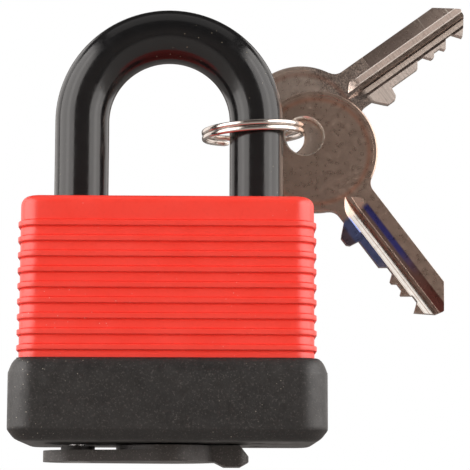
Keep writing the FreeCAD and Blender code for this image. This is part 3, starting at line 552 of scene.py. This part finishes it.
class BladeFrame:
    """Coordinates along and across one key, for finishes that follow its milling."""

    def __init__(self, finish, node, angle, bow_is_low):
        low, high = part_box(node)
        centre_x = low.x + BOW_R
        centre_z = low.z + BOW_R if bow_is_low else high.z - BOW_R
        along = centre_x * math.cos(angle) + centre_z * math.sin(angle)
        across = centre_z * math.cos(angle) - centre_x * math.sin(angle)
        self.finish = finish
        mapping = finish.add("ShaderNodeMapping", vector_type="POINT")
        mapping.inputs["Rotation"].default_value = (0, angle, 0)
        mapping.inputs["Location"].default_value = (-along, 0, -across)
        finish.link(finish.place, mapping.inputs["Vector"])
        self.place = mapping.outputs["Vector"]
        split = finish.add("ShaderNodeSeparateXYZ")
        finish.link(self.place, split.inputs["Vector"])
        self.along = split.outputs["X"]
        self.across = split.outputs["Z"]
        middle = (low.y + high.y) / 2
        near = finish.ramp(split.outputs["Y"], middle - 0.3 * MM, middle + 0.3 * MM, 1.0, 0.0)
        self.milled = finish.times(self.band(self.along, MILLED_FROM, KEY_END, 0.4), near)

    def band(self, value, low, high, soft=0.08):
        """1 between two places in millimetres, 0 outside, with a soft edge."""
        rise = self.finish.ramp(value, (low - soft) * MM, (low + soft) * MM)
        fall = self.finish.ramp(value, (high - soft) * MM, (high + soft) * MM, 1.0, 0.0)
        return self.finish.times(rise, fall)

    def strip(self, low, high, soft):
        """The milled near face between two heights across the blade."""
        return self.finish.times(self.milled, self.band(self.across, low, high, soft))

    def fade(self, start, end, first, last):
        """Runs from first to last between two places along the key, in millimetres."""
        return self.finish.ramp(self.along, start * MM, end * MM, first, last)

    def scaled(self, scale):
        """The key's own coordinates scaled along each axis."""
        mapping = self.finish.add("ShaderNodeMapping", vector_type="POINT")
        mapping.inputs["Scale"].default_value = scale
        self.finish.link(self.place, mapping.inputs["Vector"])
        return mapping.outputs["Vector"]

    def ring(self, centre, low, high, soft=0.08):
        """1 between two radii about a point on the blade's axis."""
        shifted = self.finish.add("ShaderNodeMath", operation="SUBTRACT")
        self.finish.link(self.along, shifted.inputs[0])
        shifted.inputs[1].default_value = centre
        flat = self.finish.add("ShaderNodeCombineXYZ")
        self.finish.link(shifted.outputs[0], flat.inputs["X"])
        self.finish.link(self.across, flat.inputs["Y"])
        length = self.finish.add("ShaderNodeVectorMath", operation="LENGTH")
        self.finish.link(flat.outputs["Vector"], length.inputs[0])
        return self.band(length.outputs["Value"], low, high, soft)


def key_base(name, colour):
    """Tumbled nickel with a fine grain, worn brighter in soft patches."""
    made = Finish(name, colour, 0.30, Metallic=1.0)
    made.tint(made.ramp(made.noise(150.0), 0.38, 0.72, 0.0, 0.6), [c * 0.84 for c in colour])
    made.tint(made.ramp(made.noise(2300.0, detail=3.0, roughness=0.7), 0.45, 0.75, 0.0, 0.5),
              [c * 0.72 for c in colour])
    made.rough(made.ramp(made.noise(900.0), 0.3, 0.7, 0.24, 0.38))
    made.bump(made.noise(2600.0, detail=3.0, roughness=0.7), 0.012 * MM, 0.5)
    return made


def front_key_nickel():
    """Painted reflections: blue and red from the surroundings, painted on the near face along the
    milled bands.
    """
    made = key_base("front_key_nickel", (0.56, 0.42, 0.345))
    blade = BladeFrame(made, "key_front", FRONT_ANGLE, False)
    # painted shade: reddish-brown just inside the bow's rim
    made.wash(blade.ring(0.0, *BOW_RIM_SHADE, 0.35), 0.55, (0.62, 0.28, 0.18))
    # painted highlight: a near-white ring on the hole's chamfer
    made.tint(blade.ring(HOLE_X, *HOLE_HIGHLIGHT, 0.04), (0.98, 0.93, 0.86))
    made.tint(blade.strip(*DEEP_GROOVE, 0.05), (0.34, 0.325, 0.305))
    # painted reflection: blue on the land below the deep groove, fading out toward the tip
    low_land = blade.strip(-FAR_ACROSS, -2.62, 0.05)
    made.tint(made.times(low_land, blade.fade(23, 28, 0.85, 0.0)), (0.08, 0.15, 0.40))
    lug_face = made.times(low_land, blade.band(blade.across, -FAR_ACROSS, -4.6, 0.25))
    made.wash(lug_face, 0.8, (0.16, 0.11, 0.10))
    # painted reflections on the upper groove: darker brown over it, blue along its upper edge fading
    # out toward the tip, and dark red growing toward the tip
    upper = blade.strip(*UPPER_GROOVE, 0.12)
    made.wash(upper, 0.8, (0.15, 0.10, 0.09))
    blue_reflection_edge = blade.strip(0.55, 1.6, 0.2)
    made.tint(made.times(blue_reflection_edge, blade.fade(24, 30, 0.9, 0.0)), (0.06, 0.07, 0.34))
    red_reflection_tipward = made.times(upper, blade.fade(25, 34, 0.0, 1.0))
    made.wash(red_reflection_tipward, 0.85, (0.17, 0.045, 0.035))
    for low, high in ((-1.84, -1.70), (-2.48, -2.40)):
        made.wash(blade.strip(low, high, 0.04), 0.75, (0.13, 0.085, 0.06))
    made.wash(blade.strip(-0.72, -0.3, 0.04), 0.7, (0.26, 0.16, 0.13))
    return made.material


def rear_key_nickel():
    """A worn neck, a mottled land above the grooves and satin milled bands below it."""
    made = key_base("rear_key_nickel", (0.80, 0.66, 0.575))
    blade = BladeFrame(made, "key_rear", REAR_ANGLE, True)
    worn = made.ramp(made.noise(3200.0, detail=2.0, roughness=0.8), 0.36, 0.60)
    made.wash(made.times(blade.band(blade.along, 7.6, 17.0, 0.7), worn), 0.8, (0.17, 0.14, 0.135))
    blotches = made.ramp(made.noise(900.0, detail=4.0), 0.30, 0.60, 0.55, 0.95)
    mottled = made.times(blade.milled, blotches)
    land = made.times(blade.band(blade.along, 17.0, KEY_END, 0.15),
                      blade.band(blade.across, 1.45, FAR_ACROSS, 0.05))
    shaded = made.times(made.times(mottled, land), blade.fade(26, 36, 0.9, 0.45))
    made.tint(shaded, (0.20, 0.155, 0.14))
    stripes = made.noise(1.0, detail=2.0, place=blade.scaled((2600, 10, 60)))
    marks = made.times(land, made.ramp(stripes, 0.56, 0.66))
    made.tint(made.times(marks, blade.fade(27, 31, 0.0, 0.9)), (0.95, 0.88, 0.80))
    for low, high, colour in ((-0.80, 0.12, (0.34, 0.27, 0.23)), (-2.62, -2.15, (0.24, 0.18, 0.155)),
                              (-1.16, -0.94, (0.05, 0.04, 0.04))):
        made.tint(blade.strip(low, high, 0.05), colour)
    satin = None
    for low, high, colour in ((0.18, 1.42, (0.50, 0.41, 0.36)), (-2.12, -1.18, (0.56, 0.48, 0.42)),
                              (-FAR_ACROSS, -2.66, (0.58, 0.51, 0.46))):
        band = blade.strip(low, high, 0.04)
        made.tint(band, colour)
        dark_lines = made.times(band, made.ramp(stripes, 0.46, 0.62, 0.0, 0.5))
        made.tint(dark_lines, [c * 0.62 for c in colour])
        satin = band if satin is None else made.sum(satin, band)
    for low, high in ((1.32, 1.44), (0.14, 0.26)):
        made.tint(blade.strip(low, high, 0.04), (0.93, 0.88, 0.82))
    made.link(made.ramp(satin, 0.0, 1.0, 1.0, 0.12), made.shader.inputs["Metallic"])
    # painted shade: reddish-brown just inside the bow's rim
    made.wash(blade.ring(0.0, *BOW_RIM_SHADE, 0.35), 0.5, (0.55, 0.28, 0.20))
    return made.material


def metal(name, colour, dark, roughness, grain=(4000, 4000, 300), turn=(0, 0, 0), depth=0.01):
    """Metal with drawn or ground lines: grain is the pattern's scale along each axis."""
    made = Finish(name, colour, roughness, Metallic=1.0)
    lines = made.noise(1.0, detail=4.0, roughness=0.6, place=made.stretched(grain, turn))
    made.tint(made.ramp(lines, 0.35, 0.75, 0.0, 0.55), dark)
    made.tint(made.ramp(made.noise(180.0), 0.45, 0.8, 0.0, 0.4), dark)
    made.rough(made.ramp(lines, 0.3, 0.75, roughness * 0.8, roughness * 1.35))
    made.bump(lines, depth * MM, 0.35)
    return made.material


# ---- pieces --------------------------------------------------------------------------
def build_jacket(material):
    outside = [(0.0, BASE_TOP), (0.0, BASE_TOP + 0.3 * MM)]
    for i in reversed(range(RIB_COUNT)):
        low = BODY_TOP - RIB_FIRST - i * RIB_PITCH - RIB_HALF
        high = low + 2 * RIB_HALF
        outside += [(inset * MM, low + rise * MM) for inset, rise in RIB_FOOT_LEVELS]
        outside += [(inset * MM, high + rise * MM) for inset, rise in RIB_HEAD_LEVELS]
    outside += quarter_round(0.0, BODY_TOP - JACKET_EDGE, JACKET_EDGE, 1)
    ease = 0.3 * MM
    inside = [(JACKET_WALL, BASE_TOP), (JACKET_WALL, STACK_TOP - ease), (JACKET_WALL + ease, STACK_TOP)]
    hole = SEAL_HI.x - LEG_X
    holes = [(side * LEG_X, 0.0, hole) for side in (-1, 1)]
    shell = moulded_shell("jacket_shell", (BODY_W, BODY_D, JACKET_CORNER), outside, inside,
                          holes, SEAL_HOLE_LIP)
    dress(shell, material, "lock_body", "jacket_plastic", "jacket")
    outline = rounded_rectangle(BODY_W, BODY_D, JACKET_CORNER, arc_steps=12, side_steps=1)
    path = path_curve("jacket_ribs", [(p.x, p.y, 0.0) for p in outline], closed=True)
    ribs = run_tree(path, band_tree(), {
        "Half height": RIB_HALF, "Stand out": RIB_OUT, "Count": RIB_COUNT, "Pitch": RIB_PITCH,
        "Top": BODY_TOP - RIB_FIRST, "Finish": material})
    dress(ribs, material, "lock_body", "jacket_plastic", "jacket")


def build_base(material):
    lap = BASE_WALL - JACKET_WALL
    foot = BASE_LO.z
    outside = [(lap - inset * MM, BASE_TOP - drop * MM) for inset, drop in RIM_LEVELS]
    outside += [(inset * MM, BASE_TOP - drop * MM, BASE_SHIFT) for inset, drop in SHOULDER_LEVELS]
    outside += [(inset * MM, foot + rise * MM, BASE_SHIFT) for inset, rise in FOOT_LEVELS]
    inside = [(lap + 0.6 * MM, BASE_TOP - 0.5 * MM), (BASE_WALL, BASE_TOP - 0.6 * MM),
              (BASE_WALL, STACK_BOTTOM)]
    holes = [(0.0, 0.0, KEYHOLE_R), (-LEG_X, 0.0, PIVOT_R), (LEG_X, DRAIN_Y, DRAIN_R),
             (LEG_X, -DRAIN_Y, DRAIN_R)]
    cup = moulded_shell("base_cup", (BASE_W, BASE_D, BASE_CORNER), outside, inside, holes, HOLE_LIP)
    dress(cup, material, "lock_body", "base_plastic", "base_bumper")


def shackle_path(low):
    """Up one leg, round the arch and down the other."""
    points = [(-LEG_X, 0.0, low + (ARCH_Z - low) * i / 6) for i in range(6)]
    steps = 72
    for i in range(steps + 1):
        angle = math.pi * (1 - i / steps)
        points.append((LEG_X * math.cos(angle), 0.0, ARCH_Z + LEG_X * math.sin(angle)))
    points += [(LEG_X, 0.0, ARCH_Z + (low - ARCH_Z) * i / 6) for i in range(1, 7)]
    return points


def build_sleeve(material, tree):
    path = path_curve("shackle_sleeve", shackle_path(SLEEVE_LO.z))
    tube = run_tree(path, tree, {"Radius": SLEEVE_R, "Sides": 64, "Caps": False, "Finish": material})
    wall = tube.modifiers.new("wall", "SOLIDIFY")
    wall.thickness = SLEEVE_R - CORE_R
    wall.offset = -1.0
    rim = tube.modifiers.new("rim", "BEVEL")
    rim.width = 0.3 * MM
    rim.segments = 3
    rim.angle_limit = math.radians(50)
    dress(baked(tube), material, "shackle", "shackle_vinyl", "shackle_coating")


def build_split_ring(material):
    """Two stacked turns of squarish wire with one crossover, hanging round the right leg."""
    low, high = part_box("split_ring")
    centre = (low + high) / 2
    mean_r = (high.x - low.x - RING_WIRE_W) / 2
    level = (RING_WIRE_H + RING_GAP) / 2
    place = (Matrix.Translation(centre) @ Matrix.Rotation(RING_TILT_SIDE, 4, (0, -1, 0))
             @ Matrix.Rotation(RING_TILT_BACK, 4, (1, 0, 0)))
    bm = bmesh.new()
    rings = []
    for i in range(RING_STATIONS + 1):
        along = RING_SWEEP * i / RING_STATIONS
        rise = min(max((along - RING_LOWER_END) / RING_CLIMB, 0.0), 1.0)
        height = level * (2 * rise * rise * (3 - 2 * rise) - 1)
        angle = RING_START + along
        taper = min(1.0, RING_END_SCALE + min(i, RING_STATIONS - i) * RING_END_GAIN)
        ring = []
        for k in range(RING_SIDES):
            phase = 2 * math.pi * k / RING_SIDES
            across = math.copysign(abs(math.cos(phase)) ** RING_ROUNDNESS, math.cos(phase))
            upward = math.copysign(abs(math.sin(phase)) ** RING_ROUNDNESS, math.sin(phase))
            radius = mean_r + RING_WIRE_W / 2 * across * taper
            z = height + RING_WIRE_H / 2 * upward * taper
            spot = place @ Vector((radius * math.cos(angle), radius * math.sin(angle), z))
            ring.append(bm.verts.new(spot))
        rings.append(ring)
    for first, second in zip(rings, rings[1:]):
        bridge(bm, first, second)
    bm.faces.new(rings[0])
    bm.faces.new(rings[-1])
    dress(finish_mesh(bm, "ring_wire", 50), material, "key_ring", "bright_nickel", "split_ring")


def helix(y, z, radius, length, turns, steps=20):
    """Points of a coil in the lock's middle plane that runs back along Y from y."""
    points = []
    for i in range(turns * steps + 1):
        angle = 2 * math.pi * i / steps
        points.append((radius * math.cos(angle), y + length * i / (turns * steps),
                       z + radius * math.sin(angle)))
    return points


def build_pin_springs(material, tree):
    """The small coils behind the driver pins, one after another up the tower."""
    low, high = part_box("pin_springs")
    pin_r = (high.x - low.x) / 2
    wire_r = PIN_SPRING_WIRE_R
    pitch = (high.z - low.z - 2 * pin_r) / (PIN_SPRINGS - 1)
    for i in range(PIN_SPRINGS):
        path = path_curve("pin_coil_%d" % (i + 1), helix(
            low.y + wire_r, low.z + pin_r + i * pitch, pin_r - wire_r,
            high.y - low.y - 2 * wire_r, PIN_SPRING_TURNS))
        coil = run_tree(path, tree, {"Radius": wire_r, "Sides": 8, "Caps": True, "Finish": material})
        dress(coil, material, "lock_body", "spring_steel", "pin_springs")


# ---- stage ---------------------------------------------------------------------------
def build_camera():
    """Just below the foot of the lock, looking slightly up at its front face."""
    eye = Vector((5.82, -350.6, -83.47)) * MM
    yaw = math.radians(1.025)
    pitch = math.radians(8.353)
    roll = math.radians(0.133)
    ahead = Vector((math.sin(yaw) * math.cos(pitch), math.cos(yaw) * math.cos(pitch), math.sin(pitch)))
    right = Vector((math.cos(yaw), -math.sin(yaw), 0.0))
    up = right.cross(ahead)
    level_right = right * math.cos(roll) + up * math.sin(roll)
    level_up = up * math.cos(roll) - right * math.sin(roll)
    data = bpy.data.cameras.new("camera")
    data.sensor_width = 36.0
    data.lens = 148.75
    data.clip_start = 0.01
    camera = bpy.data.objects.new("camera", data)
    turn = Matrix((level_right, level_up, -ahead)).transposed().to_4x4()
    camera.matrix_world = Matrix.Translation(eye) @ turn
    bpy.context.scene.collection.objects.link(camera)
    bpy.context.scene.camera = camera


def panel(name, place, target, width, height, radiance, tint=(1, 1, 1)):
    """A soft rectangular light, its strength given as brightness of its face."""
    data = bpy.data.lights.new(name, "AREA")
    data.shape = "RECTANGLE"
    data.size = width
    data.size_y = height
    data.energy = radiance * math.pi * width * height
    data.color = tint
    light = bpy.data.objects.new(name, data)
    light.location = place
    aim = Vector(target) - Vector(place)
    light.rotation_euler = aim.to_track_quat("-Z", "Y").to_euler()
    bpy.context.scene.collection.objects.link(light)


def build_stage():
    """Grey floor, white backdrop and soft boxes at both sides and above."""
    build_floor()
    build_world()
    build_lights()


def build_floor():
    mesh = bpy.data.meshes.new("floor")
    half = 3.0
    level = -0.0915
    mesh.from_pydata([(-half, -half, level), (half, -half, level), (half, half, level),
                      (-half, half, level)], [], [(0, 1, 2, 3)])
    floor = bpy.data.objects.new("floor", mesh)
    bpy.context.scene.collection.objects.link(floor)
    made = Finish("floor_paper", (0.42, 0.405, 0.39), 0.85)
    made.tint(made.ramp(made.noise(60.0), 0.4, 0.7, 0.0, 0.3), (0.40, 0.385, 0.375))
    mesh.materials.append(made.material)


def build_world():
    """White to the camera, and a dim warm room, lightest level with the lock, to all else."""
    world = bpy.data.worlds.new("studio")
    bpy.context.scene.world = world
    world.use_nodes = True
    tree = world.node_tree
    tree.nodes.clear()
    seen = add(tree, "ShaderNodeBackground", Color=(1, 1, 1, 1), Strength=1.0)
    room = add(tree, "ShaderNodeBackground", Strength=1.0)
    way = add(tree, "ShaderNodeTexCoord")
    split = add(tree, "ShaderNodeSeparateXYZ")
    level = add(tree, "ShaderNodeMath", operation="ABSOLUTE")
    fade = add(tree, "ShaderNodeMapRange")
    fade.inputs["From Min"].default_value = 0.22
    fade.inputs["From Max"].default_value = 0.62
    blend = add(tree, "ShaderNodeMix", data_type="RGBA")
    blend.inputs[6].default_value = (0.175, 0.152, 0.138, 1)
    blend.inputs[7].default_value = (0.030, 0.028, 0.027, 1)
    tree.links.new(way.outputs["Generated"], split.inputs["Vector"])
    tree.links.new(split.outputs["Z"], level.inputs[0])
    tree.links.new(level.outputs[0], fade.inputs["Value"])
    tree.links.new(fade.outputs["Result"], blend.inputs["Factor"])
    tree.links.new(blend.outputs[2], room.inputs["Color"])
    path = add(tree, "ShaderNodeLightPath")
    mix = add(tree, "ShaderNodeMixShader")
    out = add(tree, "ShaderNodeOutputWorld")
    tree.links.new(path.outputs["Is Camera Ray"], mix.inputs["Fac"])
    tree.links.new(room.outputs[0], mix.inputs[1])
    tree.links.new(seen.outputs[0], mix.inputs[2])
    tree.links.new(mix.outputs[0], out.inputs["Surface"])


def build_lights():
    middle = (0.0, 0.0, -0.03)
    warm = (1.0, 0.965, 0.94)
    for side in (-1, 1):
        panel("side_box", (side * 0.46, -0.30, 0.17), (side * 0.02, -0.30, 0.12), 0.86, 0.70, 2.9,
              warm)
        panel("side_heart", (side * 0.45, -0.26, 0.17), (side * 0.02, -0.26, 0.12), 0.14, 0.60, 1.0,
              warm)
        panel("rear_side_box", (side * 0.50, 0.45, 0.15), middle, 0.5, 0.7, 1.2, warm)
    panel("top_box", (0.0, -0.05, 0.75), middle, 0.9, 0.6, 0.35, warm)


# ---- build everything ----------------------------------------------------------------
bpy.context.scene.view_settings.view_transform = "Standard"
build_camera()
build_stage()

red = red_plastic()
charcoal = dark_plastic("base_charcoal_plastic", (0.0085, 0.0074, 0.0070), (0.026, 0.023, 0.0215))
cover_black = dark_plastic("cover_black_plastic", (0.040, 0.034, 0.031), (0.062, 0.053, 0.049))
vinyl = gloss_vinyl()
rubber = seal_rubber()
plate_steel = metal("plate_zinc_steel", (0.62, 0.62, 0.61), (0.42, 0.42, 0.42), 0.34, (300, 4000, 4000))
hard_steel = metal("hardened_steel", (0.56, 0.55, 0.54), (0.36, 0.35, 0.35), 0.26, (3000, 3000, 250))
spring_steel = metal("spring_steel", (0.50, 0.50, 0.52), (0.30, 0.30, 0.32), 0.24)
brass = metal("turned_brass", (0.80, 0.62, 0.31), (0.60, 0.43, 0.19), 0.26, (300, 300, 5000))
ring_nickel = metal("ring_bright_nickel", (0.70, 0.645, 0.60), (0.54, 0.46, 0.41), 0.17)

sweep = sweep_tree()
build_jacket(red)
build_base(charcoal)
build_sleeve(vinyl, sweep)
dress(softened_copy("keyhole_cover", "cover_moulding", 0.22 * MM, 3), cover_black, "cover",
      "cover_plastic", "keyhole_cover")
for side, nickel in (("front", front_key_nickel()), ("rear", rear_key_nickel())):
    blank = softened_copy("key_" + side, side + "_key_blank", 0.05 * MM, angle=14)
    dress(blank, nickel, side + "_key", "key_nickel", "key_" + side)
build_split_ring(ring_nickel)
build_pin_springs(spring_steel, sweep)

KEPT = {
    "leg_seals": rubber, "body_rivets": hard_steel, "heel_pin": hard_steel,
    "shackle_core": hard_steel, "shackle_spring": spring_steel, "cylinder_shell": brass,
    "plug": brass, "key_pins": brass, "driver_pins": brass, "plug_clip": spring_steel,
    "spindle": hard_steel, "locking_cam": hard_steel, "cover_pivot": hard_steel}
for node_name in NODES:
    if node_name.startswith("plate_"):
        KEPT[node_name] = plate_steel
for node_name, finish in KEPT.items():
    data = NODES[node_name].data
    data.materials.clear()
    data.materials.append(finish)
